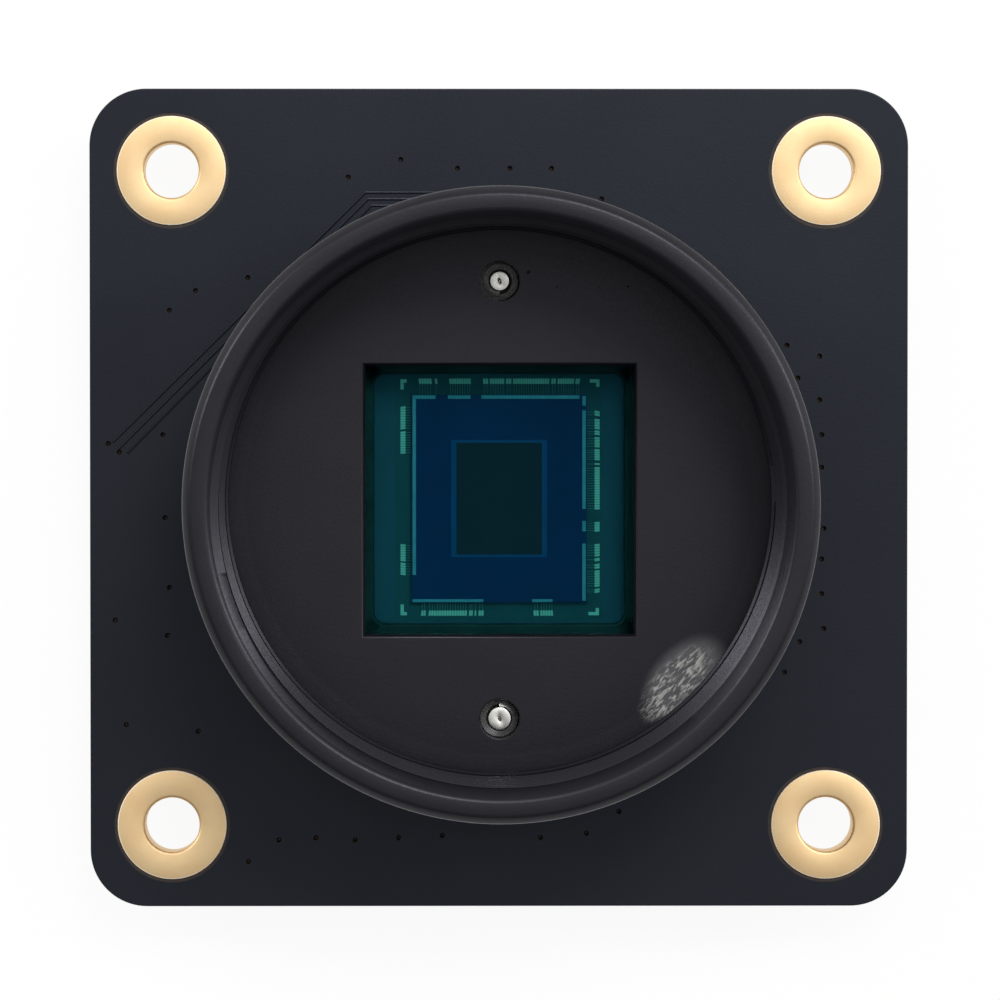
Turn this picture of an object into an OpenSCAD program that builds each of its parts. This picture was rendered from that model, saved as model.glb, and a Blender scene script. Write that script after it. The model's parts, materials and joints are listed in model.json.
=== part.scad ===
// Camera module: a square circuit board with an image sensor, a screw-in lens
// mount over it and a flat-cable socket on the rear.
// Millimetres. +Z is the optical axis, towards the lens side. +X is to the right
// and +Y is up when the lens side faces the viewer. The origin is the centre of the
// four mounting holes, on the rear face of the board.

/* [Circuit board] */
// Side of the square board
board_size = 37.5; // [36:0.5:42]
// Thickness of the board
board_thickness = 1.6; // [1:0.1:2.4]
// Corner radius of the board
board_corner_radius = 2.6; // [1:0.1:3.5]
// Distance between mounting holes, both ways
hole_spacing = 30; // [29:0.5:31]
// Clear diameter of a plated mounting hole
hole_diameter = 2.5; // [2.2:0.1:3.2]
// Diameter of the plated pad around a mounting hole
pad_diameter = 5; // [4.4:0.1:5.6]
// Thickness of the plating, on the faces and in the hole
plating_thickness = 0.06; // [0.04:0.01:0.1]

/* [Lens mount] */
// Bore over the crests of the lens thread
thread_bore = 24.6; // [24:0.1:24.8]
// Wall of the barrel around the lens thread
barrel_wall = 1.6; // [1.4:0.05:2.4]
// Depth of the thread below the rim
thread_depth = 7.5; // [5:0.1:8]
// Distance between two turns of the thread
thread_pitch = 0.794; // [0.7:0.002:0.9]
// Depth of the undercut below the thread, beyond its crests
relief_depth = 0.5; // [0.4:0.05:0.8]
// Chamfer that leads into the thread
mouth_chamfer = 0.57; // [0.4:0.01:0.8]
// Chamfer on the outer edge of the rim
edge_chamfer = 0.35; // [0.2:0.05:0.5]
// Distance from the face of the sensor die to the rim, where the lens flange rests
flange_distance = 12.526; // [12.4:0.002:12.7]
// Thickness of the ledge that the filter lies against
ledge_thickness = 1; // [0.8:0.05:1.2]
// Border of the sensor package that the square window in the floor hides
window_border = 0.925; // [0.8:0.025:1.3]
// Chamfer on the upper edge of the window
window_chamfer = 0.12; // [0.05:0.01:0.25]
// Thickness of the floor over the hollows on its underside
web_thickness = 1.25; // [1:0.05:1.6]
// Wall of the skirt that stands on the board
skirt_wall = 1.8; // [1:0.1:2.2]
// Wall around the sensor package
sensor_wall = 1.5; // [1.2:0.1:1.6]
// Gap between the sensor package and that wall
package_clearance = 0.3; // [0.2:0.05:0.5]

/* [Mount screws] */
// Distance between the two screws
screw_pitch = 19.8; // [19.6:0.1:20.2]
// Diameter of the bosses that they cut into
boss_diameter = 5.2; // [4.8:0.1:5.6]
// Hole through a boss
screw_hole_diameter = 1.8; // [1.7:0.05:2]
// Clearance hole in the board
board_screw_hole = 2.2; // [2.1:0.05:2.4]
// Core diameter of the screw
screw_core_diameter = 1.6; // [1.4:0.05:1.65]
// Length of the screw under its head
screw_length = 5; // [4.4:0.1:5.2]
// Length of the tapered point
screw_point_length = 0.5; // [0.3:0.1:0.8]
// Diameter of the flat end of the point
screw_point_diameter = 1.1; // [0.8:0.05:1.2]
// Diameter of the pan head
screw_head_diameter = 3.8; // [3.4:0.1:4]
// Height of the pan head
screw_head_height = 1.3; // [1.1:0.1:1.5]
// Width across the cross recess
recess_width = 2; // [1.6:0.1:2.2]
// Width of one slot of the cross recess
recess_slot = 0.45; // [0.35:0.05:0.5]
// Depth of the cross recess
recess_depth = 0.75; // [0.5:0.05:0.9]

/* [Sensor and filter] */
// Side of the square sensor package
package_size = 14; // [13.6:0.1:14.2]
// Thickness of the package base
base_thickness = 0.6; // [0.4:0.05:0.8]
// Width of the die
die_width = 8; // [6:0.1:9]
// Length of the die
die_length = 9.5; // [7:0.1:9.8]
// Thickness of the die
die_thickness = 0.3; // [0.2:0.05:0.5]
// Width of the pixel array
array_width = 3.9; // [3:0.1:5]
// Length of the pixel array
array_length = 5.1; // [4:0.1:6]
// Thickness of the colour and lens layers on the pixel array
array_thickness = 0.03; // [0.02:0.01:0.05]
// Height of the dam that carries the cover glass
dam_height = 1; // [0.8:0.05:1.2]
// Width of the dam
dam_width = 1.3; // [1:0.1:1.6]
// Corner radius of the opening in the dam
dam_corner_radius = 0.55; // [0.3:0.05:0.8]
// Thickness of the cover glass
cover_thickness = 0.5; // [0.4:0.05:0.7]
// How far the cover glass stays back from the edge of the package
cover_setback = 0.2; // [0.1:0.05:0.4]
// Air gap between the cover glass and the filter
filter_gap = 0.2; // [0.1:0.05:0.4]
// How far the square infrared-cut filter reaches past the window on each side
filter_overlap = 0.525; // [0.3:0.025:0.6]
// Thickness of the filter
filter_thickness = 0.55; // [0.4:0.05:0.7]
// Gap around the filter in its recess
filter_clearance = 0.1; // [0.05:0.05:0.2]

/* [Cable socket] */
// Number of contacts
contact_count = 15; // [9:1:15]
// Distance between contacts
contact_pitch = 1; // [0.8:0.1:1]
// Gap between the lower mount screw and the feet of the contacts
contact_clearance = 0.62; // [0.4:0.02:0.8]
// Height of the housing above the board
socket_height = 2.5; // [2.3:0.1:3]
// Depth of the housing, from mouth to back
socket_depth = 4.2; // [4:0.1:4.4]
// Wall at each end of the cable slot
socket_end_wall = 1.9; // [1.7:0.1:2.2]
// Height of the cable slot
slot_height = 1.2; // [1:0.05:1.3]
// Wall between the cable slot and the board
slot_floor = 0.6; // [0.5:0.05:0.7]
// Depth of the cable slot
slot_depth = 3.4; // [3:0.1:3.5]
// Play of the cable in the slot, from side to side
cable_play = 0.2; // [0.1:0.05:0.3]
// Slope that leads the cable into the slot
slot_lead_in = 0.2; // [0.1:0.05:0.3]
// Width of a contact
contact_width = 0.3; // [0.2:0.05:0.4]
// Thickness of a contact
contact_thickness = 0.2; // [0.15:0.05:0.25]
// Gap between a contact's spring arm and the slot
contact_lift = 0.06; // [0.03:0.01:0.1]
// Length of a contact's foot on the board
contact_foot = 0.8; // [0.5:0.1:0.9]
// How far a contact's end stays back from the mouth
contact_setback = 1; // [0.6:0.1:1.4]
// Height of the bump that touches the cable
contact_bump = 0.24; // [0.1:0.02:0.3]
// Travel of the latch from closed to open
latch_travel = 1.2; // [0.8:0.1:1.3]
// Length of arm left in its groove when the latch is open
latch_grip = 1.2; // [0.8:0.1:1.3]
// Depth of the latch bar that a finger pulls
latch_bar_depth = 1.15; // [0.8:0.05:1.4]
// Running gap around the latch
latch_clearance = 0.08; // [0.04:0.02:0.1]
// Gap between the latch bar and the board
latch_bar_lift = 0.3; // [0.2:0.05:0.4]
// How far the latch bar stays below the top of the housing
latch_bar_drop = 0.15; // [0.05:0.05:0.3]
// Thickness of the tongue that presses the cable on the contacts
tongue_thickness = 0.35; // [0.25:0.05:0.4]
// Height of a latch arm
arm_height = 0.9; // [0.7:0.1:1.1]
// Width of a latch arm
arm_width = 0.8; // [0.6:0.1:0.9]
// Width of a solder tab
tab_width = 1.2; // [0.8:0.1:1.4]
// Length of a solder tab on the board
tab_reach = 1.1; // [0.8:0.1:1.4]
// Height of a solder tab on the housing
tab_height = 1.2; // [0.8:0.1:1.6]
// Thickness of a solder tab
tab_thickness = 0.2; // [0.15:0.05:0.25]
// Distance from the back of the housing to a solder tab
tab_setback = 0.2; // [0.1:0.05:0.4]

/* [Rear components] */
// Grid that the components are placed on
placement_grid = 0.5; // [0.46:0.01:0.54]
// Length of a regulator's body
regulator_length = 2.9; // [2.6:0.1:3.1]
// Width of a regulator's body
regulator_width = 1.6; // [1.4:0.1:1.7]
// Height of a regulator above the board
regulator_height = 1.1; // [0.9:0.1:1.2]
// Distance between a regulator's leads
regulator_lead_pitch = 0.95; // [0.8:0.05:1]
// Length of the memory chip's body
memory_length = 3; // [2.8:0.1:3.4]
// Width of the memory chip's body
memory_width = 4.4; // [4:0.1:4.8]
// Height of the memory chip above the board
memory_height = 1; // [0.8:0.1:1.1]
// Distance between the memory chip's leads
memory_lead_pitch = 0.65; // [0.5:0.05:0.7]
// How far a lead reaches out of a body
lead_reach = 0.9; // [0.7:0.05:1]
// Length of a lead's foot
lead_foot = 0.45; // [0.3:0.05:0.5]
// Width of a lead
lead_width = 0.32; // [0.2:0.02:0.4]
// Thickness of a lead
lead_thickness = 0.14; // [0.1:0.01:0.18]
// Gap between a moulded body and the board
body_standoff = 0.1; // [0.05:0.01:0.15]
// Draft of a moulded body, on each side of its middle
body_draft = 0.08; // [0.04:0.01:0.12]
// Length of the oscillator
oscillator_length = 3.2; // [2.5:0.1:3.6]
// Width of the oscillator
oscillator_width = 2.5; // [2:0.1:2.8]
// Height of the oscillator's ceramic base
oscillator_base_height = 0.6; // [0.4:0.05:0.8]
// Height of the oscillator's metal lid
oscillator_lid_height = 0.15; // [0.1:0.01:0.2]
// Ceramic border left around the lid
oscillator_border = 0.2; // [0.1:0.05:0.3]
// Length of a capacitor or a ferrite bead
capacitor_length = 1.6; // [1.2:0.1:2]
// Width of a capacitor or a ferrite bead
capacitor_width = 0.8; // [0.6:0.05:1]
// Height of a capacitor
capacitor_height = 0.8; // [0.5:0.05:0.9]
// Height of a ferrite bead
bead_height = 0.7; // [0.5:0.05:0.9]
// Length of a resistor
resistor_length = 1; // [0.8:0.1:1.2]
// Width of a resistor
resistor_width = 0.5; // [0.4:0.05:0.6]
// Height of a resistor
resistor_height = 0.35; // [0.25:0.05:0.5]
// Length of a chip's end terminal, as a share of the chip's length
terminal_share = 0.22; // [0.15:0.01:0.3]

/* [Hidden] */
$fn = 96;
eps = 0.01;

// Heights along the optical axis
base_top = board_thickness + base_thickness;
die_top = base_top + die_thickness;
dam_top = base_top + dam_height;
cover_top = dam_top + cover_thickness;
filter_bottom = cover_top + filter_gap;
ledge_bottom = filter_bottom + filter_thickness;
floor_top = ledge_bottom + ledge_thickness;
rim_top = die_top + flange_distance;
thread_bottom = rim_top - thread_depth;

// Radii and sides of the lens mount
thread_r = thread_bore / 2;
mount_r = thread_r + barrel_wall;
relief_r = thread_r + relief_depth;

// The thread's basic form: flats on its crests and roots between flanks at 60 degrees
crest_width = thread_pitch / 4;
root_width = thread_pitch / 8;
groove_width = thread_pitch - crest_width;
root_r = thread_r + (groove_width - root_width) / 2 / tan(30);
groove_count = floor((thread_depth - mouth_chamfer - crest_width) / thread_pitch);
skirt_inner_r = mount_r - skirt_wall;
window_size = package_size - 2 * window_border;
filter_size = window_size + 2 * filter_overlap;
pocket_size = package_size + 2 * package_clearance;
sensor_block = pocket_size + 2 * sensor_wall;

// Depths in the socket run from its back face (0) towards the mouth
slot_width = (contact_count + 1) * contact_pitch + cable_play;
socket_width = slot_width + 2 * socket_end_wall;
socket_back = (screw_pitch + screw_head_diameter) / 2 + contact_clearance + contact_foot;
slot_top = slot_floor + slot_height;
groove_height = arm_height + 2 * latch_clearance;
groove_depth = arm_width + latch_clearance;
arm_length = latch_travel + latch_grip;
back_wall = socket_depth - slot_depth;
beam_bottom = slot_floor + contact_lift;

// Places on the rear of the board, in steps of the grid: [x, y] or [x, y, angle]
REGULATORS = [[-22, 12], [-22, 3], [-22, -6]];
MEMORY_CHIP = [19, 8];
OSCILLATOR = [18, -12];
CAPACITORS = [[-29, 12, 90], [-29, 3, 90], [-29, -6, 90], [-15, 12, 90],
              [-15, 3, 90], [-15, -6, 90], [-5, 8, 0], [5, 8, 0]];
FERRITE_BEADS = [[-22, -14, 0], [-15, -14, 90]];
RESISTORS = [[9, -10, 90], [9, -15, 90], [29, 10, 90], [29, 5, 90],
             [-5, 0, 0], [5, 0, 0]];

// ---------- shared shapes ----------

// A square with round corners, centred
module rounded_square(side, radius) {
    square([side, side - 2 * radius], center = true);
    square([side - 2 * radius, side], center = true);
    for (x = [-1, 1], y = [-1, 1])
        translate([x, y] * (side / 2 - radius)) circle(radius);
}

// A centred square plate that stands on z = 0
module plate(side, height) {
    linear_extrude(height) square(side, center = true);
}

// A centred block that stands on z = 0
module block(length, width, height) {
    linear_extrude(height) square([length, width], center = true);
}

// Its children at the four mounting holes
module at_mounting_hole(i) {
    quadrant = [[-1, 1], [1, 1], [-1, -1], [1, -1]];
    translate(quadrant[i - 1] * hole_spacing / 2) children();
}

// Its children at both mount screws
module at_mount_screws() {
    for (side = [-1, 1]) translate([0, side * screw_pitch / 2]) children();
}

// Its children with z counted from the rear face, away from the board
module on_rear() {
    mirror([0, 0, 1]) children();
}

// Its children in the socket's own frame: x across, y from its back to its mouth
module in_socket() {
    on_rear() mirror([0, 1, 0]) translate([0, socket_back, 0]) children();
}

// Its children at a rear place
module at_place(place) {
    on_rear() translate([place[0], place[1]] * placement_grid)
        rotate(len(place) > 2 ? place[2] : 0) children();
}

// Points on a quarter round of the given radius, from angle a to angle b
function round_points(centre, radius, a, b, steps = 6) =
    [for (i = [0:steps]) let (t = a + (b - a) * i / steps)
        centre + radius * [cos(t), sin(t)]];

// ---------- circuit board ----------

module circuit_board() {
    color("#26282c") difference() {
        linear_extrude(board_thickness)
            rounded_square(board_size, board_corner_radius);
        for (i = [1:4]) at_mounting_hole(i)
            translate([0, 0, -eps])
                cylinder(d = hole_diameter + 2 * plating_thickness,
                         h = board_thickness + 2 * eps);
        at_mount_screws() translate([0, 0, -eps])
            cylinder(d = board_screw_hole, h = board_thickness + 2 * eps);
    }
}

// A gilded rivet shape: a barrel through the board with a pad on each face
module plated_hole(i) {
    hole_r = hole_diameter / 2;
    barrel_r = hole_r + plating_thickness;
    pad_r = pad_diameter / 2;
    top = board_thickness + plating_thickness;
    color("#e2c395") at_mounting_hole(i) rotate_extrude()
        polygon([[hole_r, -plating_thickness], [pad_r, -plating_thickness],
                 [pad_r, 0], [barrel_r, 0], [barrel_r, board_thickness],
                 [pad_r, board_thickness], [pad_r, top], [hole_r, top]]);
}

// ---------- lens mount ----------

// The thread's turns as rings, from the mouth down: four corners for each groove
function groove_points() = [for (i = [0:groove_count - 1])
    let (top = rim_top - mouth_chamfer - crest_width - i * thread_pitch)
        for (corner = [[thread_r, 0], [root_r, (groove_width - root_width) / 2],
                       [root_r, (groove_width + root_width) / 2],
                       [thread_r, groove_width]])
            [corner[0], top - corner[1]]];

// Half section of the barrel, its chamfered rim, the thread and the floor
module barrel_section() {
    polygon(concat([[0, floor_top - web_thickness],
             [skirt_inner_r, floor_top - web_thickness],
             [skirt_inner_r, board_thickness],
             [mount_r, board_thickness],
             [mount_r, rim_top - edge_chamfer],
             [mount_r - edge_chamfer, rim_top],
             [thread_r + mouth_chamfer, rim_top],
             [thread_r, rim_top - mouth_chamfer]],
            groove_points(),
            [[thread_r, thread_bottom],
             [relief_r, thread_bottom - relief_depth],
             [relief_r, floor_top],
             [0, floor_top]]));
}

// The window's upper edge, broken all round
module window_edge() {
    for (turn = [0:90:270]) rotate(turn)
        translate([window_size / 2, 0, floor_top]) rotate([90, 0, 0])
            linear_extrude(window_size + 2 * window_chamfer, center = true)
                polygon([[-eps, -window_chamfer - eps], [window_chamfer + eps, eps],
                         [-eps, eps]]);
}

module lens_mount() {
    under_floor = floor_top - web_thickness + eps - board_thickness;
    color("#2b2a2e") difference() {
        union() {
            rotate_extrude() barrel_section();
            intersection() {
                translate([0, 0, board_thickness]) {
                    plate(sensor_block, under_floor);
                    at_mount_screws() cylinder(d = boss_diameter, h = under_floor);
                }
                cylinder(r = skirt_inner_r + eps, h = floor_top);
            }
        }
        translate([0, 0, board_thickness - eps])
            plate(pocket_size, filter_bottom - board_thickness + eps);
        translate([0, 0, filter_bottom - eps])
            plate(filter_size + 2 * filter_clearance, filter_thickness + eps);
        translate([0, 0, ledge_bottom - eps])
            plate(window_size, ledge_thickness + 2 * eps);
        window_edge();
        at_mount_screws() cylinder(d = screw_hole_diameter, h = floor_top + eps);
    }
}

module ir_cut_filter() {
    color("#3a8f96", 0.5) translate([0, 0, filter_bottom])
        plate(filter_size, filter_thickness);
}

// ---------- screws from the rear ----------

// Half section of a self-tapping pan-head screw, its head at z < 0
module screw_section() {
    head_r = screw_head_diameter / 2;
    edge_r = 0.6 * screw_head_height;
    polygon(concat(
        [[0, -screw_head_height]],
        round_points([head_r - edge_r, edge_r - screw_head_height], edge_r, 270, 360),
        [[head_r, 0], [screw_core_diameter / 2, 0],
         [screw_core_diameter / 2, screw_length - screw_point_length],
         [screw_point_diameter / 2, screw_length], [0, screw_length]]));
}

module mount_screws() {
    color("#c9cbcc") at_mount_screws() difference() {
        rotate_extrude() screw_section();
        for (turn = [0, 90]) rotate(turn)
            translate([0, 0, -screw_head_height - eps])
                block(recess_width, recess_slot, recess_depth + eps);
    }
}

// ---------- image sensor ----------

module sensor_base() {
    color("#0d4a50") translate([0, 0, board_thickness])
        plate(package_size, base_thickness);
}

module sensor_dam() {
    color("#123a34") translate([0, 0, base_top]) linear_extrude(dam_height)
        difference() {
            square(package_size, center = true);
            rounded_square(package_size - 2 * dam_width, dam_corner_radius);
        }
}

module sensor_die() {
    color("#0a2a4a") translate([0, 0, base_top])
        block(die_width, die_length, die_thickness);
}

module pixel_array() {
    color("#0b1f24") translate([0, 0, die_top])
        block(array_width, array_length, array_thickness);
}

module sensor_cover_glass() {
    color("#bcd6d6", 0.3) translate([0, 0, dam_top])
        plate(package_size - 2 * cover_setback, cover_thickness);
}

// ---------- flat-cable socket ----------

// Its children at each contact
module at_contacts() {
    for (i = [0:contact_count - 1])
        translate([(i - (contact_count - 1) / 2) * contact_pitch, 0]) children();
}

// An outline in depth and height, extruded across the socket
module across(width) {
    rotate([90, 0, 90]) linear_extrude(width, center = true) children();
}

module socket_housing() {
    color("#ddd6c2") in_socket() difference() {
        translate([0, socket_depth / 2]) block(socket_width, socket_depth,
                                               socket_height);
        // cable slot, with a lead-in at the mouth
        across(slot_width) polygon([[back_wall, slot_floor],
            [socket_depth - slot_lead_in, slot_floor],
            [socket_depth + eps, slot_floor - slot_lead_in],
            [socket_depth + eps, slot_top], [back_wall, slot_top]]);
        // a passage through the back wall for each contact
        at_contacts() across(contact_width)
            translate([-eps, beam_bottom])
                square([back_wall + 2 * eps, contact_thickness]);
        // guide grooves for the latch arms
        for (side = [-1, 1])
            translate([side * (socket_width / 2 - groove_depth / 2 + eps / 2),
                       socket_depth - (arm_length + latch_clearance) / 2 + eps / 2,
                       (socket_height - groove_height) / 2])
                block(groove_depth + eps, arm_length + latch_clearance + eps,
                      groove_height);
    }
}

// Foot, riser and spring arm of one contact, as an outline in depth and height
module contact_outline() {
    beam_end = socket_depth - contact_setback;
    polygon([[-contact_foot, 0], [0, 0], [0, beam_bottom],
             [beam_end, beam_bottom], [beam_end, beam_bottom + contact_thickness],
             [beam_end - contact_bump, beam_bottom + contact_thickness + contact_bump],
             [beam_end - 2 * contact_bump, beam_bottom + contact_thickness],
             [-contact_thickness, beam_bottom + contact_thickness],
             [-contact_thickness, contact_thickness],
             [-contact_foot, contact_thickness]]);
}

module socket_contacts() {
    color("#d9b36c") in_socket() at_contacts() across(contact_width)
        contact_outline();
}

// A pull bar with a cable window, a tongue in the slot and two arms in the grooves
module socket_latch() {
    bar_back = socket_depth + latch_clearance;
    bar_height = socket_height - latch_bar_drop - latch_bar_lift;
    bar_width = socket_width - 2 * (groove_depth - latch_clearance - arm_width);
    tongue_top = slot_top - latch_clearance;
    tongue_bottom = tongue_top - tongue_thickness;
    arm_centre = (bar_width - arm_width) / 2;
    color("#2a2422") in_socket() {
        difference() {
            translate([0, bar_back + latch_bar_depth / 2, latch_bar_lift])
                block(bar_width, latch_bar_depth, bar_height);
            translate([0, bar_back + latch_bar_depth / 2, slot_floor])
                block(slot_width, latch_bar_depth + 2 * eps,
                      tongue_bottom - slot_floor);
        }
        across(slot_width - 2 * latch_clearance) polygon([
            [bar_back + eps, tongue_bottom], [bar_back + eps, tongue_top],
            [bar_back - arm_length, tongue_top],
            [bar_back - arm_length, tongue_top - tongue_thickness / 2],
            [bar_back - arm_length + tongue_thickness, tongue_bottom]]);
        for (side = [-1, 1])
            translate([side * arm_centre, bar_back - arm_length / 2 + eps / 2,
                       (socket_height - arm_height) / 2])
                block(arm_width, arm_length + eps, arm_height);
    }
}

// An angle that ties one end of the housing to the board
module socket_tab(side) {
    color("#c8cacc") in_socket()
        translate([side * socket_width / 2, tab_setback + tab_width / 2])
            rotate([90, 0, side > 0 ? 0 : 180]) linear_extrude(tab_width, center = true)
                polygon([[0, 0], [tab_reach, 0], [tab_reach, tab_thickness],
                         [tab_thickness, tab_thickness],
                         [tab_thickness, tab_height], [0, tab_height]]);
}

// ---------- chips with gull-wing leads ----------

// A moulded body, drawn in from its middle by the draft of the mould
module moulded_body(length, width, height) {
    middle = (height + body_standoff) / 2;
    rotate([90, 0, 0]) linear_extrude(length, center = true)
        polygon([[-width / 2 + body_draft, body_standoff], [width / 2 - body_draft, body_standoff],
                 [width / 2, middle], [width / 2 - body_draft, height],
                 [-width / 2 + body_draft, height], [-width / 2, middle]]);
}

// A row of leads on the +x side of a body
module lead_row(offsets, width, height) {
    middle = (height + body_standoff) / 2;
    half = lead_thickness / 2;
    knee = lead_reach - lead_foot;
    for (y = offsets) translate([width / 2, y]) rotate([90, 0, 0])
        linear_extrude(lead_width, center = true)
            polygon([[0, middle], [half, middle - half], [knee - half, middle - half],
                     [knee - half, 0], [lead_reach, 0], [lead_reach, lead_thickness],
                     [knee + half, lead_thickness], [knee + half, middle + half],
                     [half, middle + half]]);
}

module regulator(i) {
    color("#1c1c1e") at_place(REGULATORS[i - 1])
        moulded_body(regulator_length, regulator_width, regulator_height);
}

// Three leads on one side of each regulator and two on the other
module regulator_leads() {
    p = regulator_lead_pitch;
    color("#c4c6c8") for (place = REGULATORS) at_place(place) {
        lead_row([-p, 0, p], regulator_width, regulator_height);
        rotate(180) lead_row([-p, p], regulator_width, regulator_height);
    }
}

module memory_chip() {
    color("#1a1a1c") at_place(MEMORY_CHIP)
        moulded_body(memory_length, memory_width, memory_height);
}

module memory_leads() {
    offsets = [for (i = [-1.5:1.5]) i * memory_lead_pitch];
    color("#c4c6c8") at_place(MEMORY_CHIP) for (turn = [0, 180]) rotate(turn)
        lead_row(offsets, memory_width, memory_height);
}

// ---------- oscillator ----------

module oscillator_base() {
    color("#6f665c") at_place(OSCILLATOR)
        block(oscillator_length, oscillator_width, oscillator_base_height);
}

module oscillator_lid() {
    color("#d0cfc8") at_place(OSCILLATOR) translate([0, 0, oscillator_base_height])
        block(oscillator_length - 2 * oscillator_border,
              oscillator_width - 2 * oscillator_border, oscillator_lid_height);
}

// ---------- small chips with end terminals ----------

module chip_body(length, width, height) {
    block(length * (1 - 2 * terminal_share), width, height);
}

module chip_terminals(length, width, height) {
    share = length * terminal_share;
    for (side = [-1, 1]) translate([side * (length - share) / 2, 0])
        block(share, width, height);
}

module capacitor(i) {
    color("#a9855c") at_place(CAPACITORS[i - 1])
        chip_body(capacitor_length, capacitor_width, capacitor_height);
}

module capacitor_terminals() {
    color("#cfd0cf") for (place = CAPACITORS) at_place(place)
        chip_terminals(capacitor_length, capacitor_width, capacitor_height);
}

module ferrite_bead(i) {
    color("#47474a") at_place(FERRITE_BEADS[i - 1])
        chip_body(capacitor_length, capacitor_width, bead_height);
}

module bead_terminals() {
    color("#cfd0cf") for (place = FERRITE_BEADS) at_place(place)
        chip_terminals(capacitor_length, capacitor_width, bead_height);
}

module resistor(i) {
    color("#17181a") at_place(RESISTORS[i - 1])
        chip_body(resistor_length, resistor_width, resistor_height);
}

module resistor_terminals() {
    color("#cfd0cf") for (place = RESISTORS) at_place(place)
        chip_terminals(resistor_length, resistor_width, resistor_height);
}

// ---------- what is drawn ----------

circuit_board();
for (i = [1:4])
    plated_hole(i);
lens_mount();
mount_screws();
ir_cut_filter();
sensor_base();
sensor_dam();
sensor_die();
pixel_array();
sensor_cover_glass();
socket_housing();
socket_contacts();
socket_latch();
socket_tab(-1);  // socket_tab_1
socket_tab(1);  // socket_tab_2
for (i = [1:3])
    regulator(i);
regulator_leads();
memory_chip();
memory_leads();
oscillator_base();
oscillator_lid();
for (i = [1:8])
    capacitor(i);
capacitor_terminals();
for (i = [1:2])
    ferrite_bead(i);
bead_terminals();
for (i = [1:6])
    resistor(i);
resistor_terminals();
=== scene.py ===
"""The camera module's finishes, fine forms and stage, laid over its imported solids."""
import json
import math

import bmesh
import bpy
from bpy.props import FloatProperty, FloatVectorProperty, PointerProperty
from mathutils import Matrix, Vector


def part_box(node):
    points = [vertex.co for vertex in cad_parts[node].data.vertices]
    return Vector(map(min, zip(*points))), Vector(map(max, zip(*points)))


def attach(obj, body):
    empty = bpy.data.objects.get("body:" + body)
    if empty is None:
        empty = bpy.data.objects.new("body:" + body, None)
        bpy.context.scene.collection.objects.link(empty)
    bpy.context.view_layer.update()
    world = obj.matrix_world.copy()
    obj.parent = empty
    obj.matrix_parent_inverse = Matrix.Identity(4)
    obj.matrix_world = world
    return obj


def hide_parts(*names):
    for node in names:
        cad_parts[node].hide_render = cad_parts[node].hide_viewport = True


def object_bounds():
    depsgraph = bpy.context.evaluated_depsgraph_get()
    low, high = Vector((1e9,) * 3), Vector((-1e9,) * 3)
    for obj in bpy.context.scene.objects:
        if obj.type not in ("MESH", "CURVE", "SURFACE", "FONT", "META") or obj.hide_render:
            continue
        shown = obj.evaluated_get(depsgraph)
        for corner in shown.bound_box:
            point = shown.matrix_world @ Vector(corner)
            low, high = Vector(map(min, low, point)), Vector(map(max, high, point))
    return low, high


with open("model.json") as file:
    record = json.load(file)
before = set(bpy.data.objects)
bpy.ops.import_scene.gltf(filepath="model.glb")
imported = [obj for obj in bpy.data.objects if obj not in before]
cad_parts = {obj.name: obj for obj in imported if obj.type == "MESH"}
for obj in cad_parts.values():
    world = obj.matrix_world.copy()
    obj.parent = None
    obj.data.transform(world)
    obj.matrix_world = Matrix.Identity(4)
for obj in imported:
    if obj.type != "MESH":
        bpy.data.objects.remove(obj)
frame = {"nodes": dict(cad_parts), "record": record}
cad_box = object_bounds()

bl_info = {
    "name": "Camera module",
    "version": (1, 0, 0),
    "blender": (4, 5, 0),
    "location": "3D View > Sidebar > Camera module",
    "description": "Makes the board, lens mount, image sensor, socket and stage",
    "category": "Add Mesh",
}

MM = 0.001


def linear(code):
    """The linear colour of an sRGB hex value."""
    parts = [int(code[i:i + 2], 16) / 255 for i in (1, 3, 5)]
    return (*(p / 12.92 if p <= 0.04045 else ((p + 0.055) / 1.055) ** 2.4
              for p in parts), 1.0)


def extent(node):
    """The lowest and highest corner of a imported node, in millimetres."""
    low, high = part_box(node)
    return low / MM, high / MM


# ---------- sizes and colours a user may change ----------


def millimetres(name, description, value):
    """A size property in millimetres."""
    return FloatProperty(name=name, description=description, default=value, min=0.0,
                         precision=3)


def colour(name, description, code):
    """A colour property that starts from an sRGB hex value."""
    return FloatVectorProperty(name=name, description=description, subtype="COLOR",
                               size=4, min=0.0, max=1.0, default=linear(code))


class BoardSettings(bpy.types.PropertyGroup):
    """Sizes and colours of the circuit board and its plated holes."""
    corner: millimetres("Corner radius", "Radius of the board's corners", 2.6)
    clearance: millimetres("Mask clearance", "Bare laminate left round a pad", 0.15)
    via: millimetres("Via radius", "Radius of a via's mouth", 0.13)
    track: millimetres("Track width", "Width of a track under the mask", 0.13)
    rise: millimetres("Track rise", "How far a track stands up", 0.06)
    mask: colour("Solder mask", "Colour of the matt black solder mask", "#090c13")
    gold: colour("Gold", "Colour of the immersion gold", "#e8c898")


class MountSettings(bpy.types.PropertyGroup):
    """Sizes and colours of the lens mount and its screws."""
    rounding: millimetres("Edge rounding", "Radius on the rim's edges", 0.1)
    pitch: millimetres("Thread pitch", "Pitch of the lens thread", 0.794)
    depth: millimetres("Thread depth", "Depth of the lens thread", 0.43)
    plastic: colour("Plastic", "Colour of the moulded black plastic", "#0c0c0f")
    # Tone of a pale grey streaky patch on the floor, lighter and duller than the plastic
    patch_tone: colour("Pale patch", "Colour of the rubbed patch on the floor", "#5c5c5e")
    steel: colour("Plating", "Colour of the nickel-plated screws", "#ecebe6")


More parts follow.
